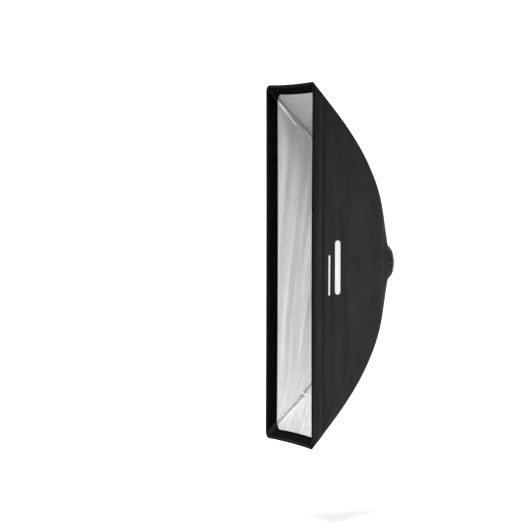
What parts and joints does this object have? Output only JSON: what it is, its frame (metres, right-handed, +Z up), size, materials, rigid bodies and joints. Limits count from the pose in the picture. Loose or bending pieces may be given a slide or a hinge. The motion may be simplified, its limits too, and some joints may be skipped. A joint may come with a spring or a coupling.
{
  "type": "strip softbox",
  "caption": "Tall strip softbox: black cloth tent with silver lining on curved rods, in a rotating bayonet ring with a locking knob.",
  "frame": {"origin": "centre of the bayonet plate's rear seat, the plane that meets the lamp head", "axes": "+Y out of the rear towards the lamp head, so light leaves towards -Y; +Z up along the long side; +X across the short side"},
  "size_m": [0.352, 0.4615, 1.402],
  "materials": {
    "outer_cloth": "matt woven nylon",
    "silver_lining": "metallised satin cloth",
    "lip_cloth": "matt woven cloth",
    "loop_tape": "looped pile",
    "hook_tape": "hooked tape",
    "binding_tape": "ribbed binding tape",
    "webbing": "woven webbing",
    "elastic_band": "braided elastic",
    "snap_metal": "plated",
    "rod_steel": "drawn spring steel",
    "cap_rubber": "matt",
    "ring_alloy": "black anodised die casting",
    "liner_plastic": "moulded",
    "glide_plastic": "low friction",
    "screw_steel": "zinc plated",
    "plate_steel": "satin plated steel",
    "knob_plastic": "moulded"
  },
  "bodies": {
    "mount": {"mount_plate": "plate_steel"},
    "lock_feed": {"lock_screw": "screw_steel", "brake_pad": "glide_plastic"},
    "lock_knob": {"lock_knob": "knob_plastic"},
    "flap_top": {"access_flap_top": "outer_cloth", "flap_hook_top": "hook_tape"},
    "flap_bottom": {"access_flap_bottom": "outer_cloth", "flap_hook_bottom": "hook_tape"},
    "softbox": {"side_panel_right": "outer_cloth", "side_panel_left": "outer_cloth", "top_panel": "outer_cloth", "bottom_panel": "outer_cloth", "side_lining_right": "silver_lining", "side_lining_left": "silver_lining", "top_lining": "silver_lining", "bottom_lining": "silver_lining", "front_lip_right": "lip_cloth", "front_lip_left": "lip_cloth", "front_lip_top": "lip_cloth", "front_lip_bottom": "lip_cloth", "loop_tape_right": "loop_tape", "loop_tape_left": "loop_tape", "loop_tape_top": "loop_tape", "loop_tape_bottom": "loop_tape", "front_binding": "binding_tape", "corner_pockets": "webbing", "seam_bindings": "binding_tape", "tie_tabs": "webbing", "tab_snaps": "snap_metal", "rear_collar": "outer_cloth", "collar_elastic": "elastic_band", "flap_loop_tapes": "loop_tape", "rod_upper_right": "rod_steel", "rod_upper_left": "rod_steel", "rod_lower_right": "rod_steel", "rod_lower_left": "rod_steel", "rod_tip_caps": "cap_rubber", "rod_ring": "ring_alloy", "socket_liners": "liner_plastic", "glide_ring": "glide_plastic", "retainer_ring": "ring_alloy", "retainer_screws": "screw_steel"}
  },
  "joints": [
    {"name": "mount_spin", "type": "hinge", "parent": "mount", "child": "softbox", "pos_m": [0, 0, 0], "axis": [0, 1, 0], "continuous": true},
    {"name": "lock_feed", "type": "slide", "parent": "softbox", "child": "lock_feed", "axis": [0, 0, -1], "range_m": [0, 0.0012]},
    {"name": "lock_turn", "type": "hinge", "parent": "lock_feed", "child": "lock_knob", "pos_m": [0, -0.0075, -0.098], "axis": [0, 0, -1], "range_deg": [0, 540]},
    {"name": "flap_top_open", "type": "hinge", "parent": "softbox", "child": "flap_top", "pos_m": [0, -0.0797, 0.2335], "axis": [1, 0, 0], "range_deg": [0, 115]},
    {"name": "flap_bottom_open", "type": "hinge", "parent": "softbox", "child": "flap_bottom", "pos_m": [0, -0.0797, -0.2335], "axis": [-1, 0, 0], "range_deg": [0, 115]}
  ],
  "couplings": [
    {"joint": "lock_turn", "follows": "lock_feed", "rad_per_m": 7853.9}
  ]
}
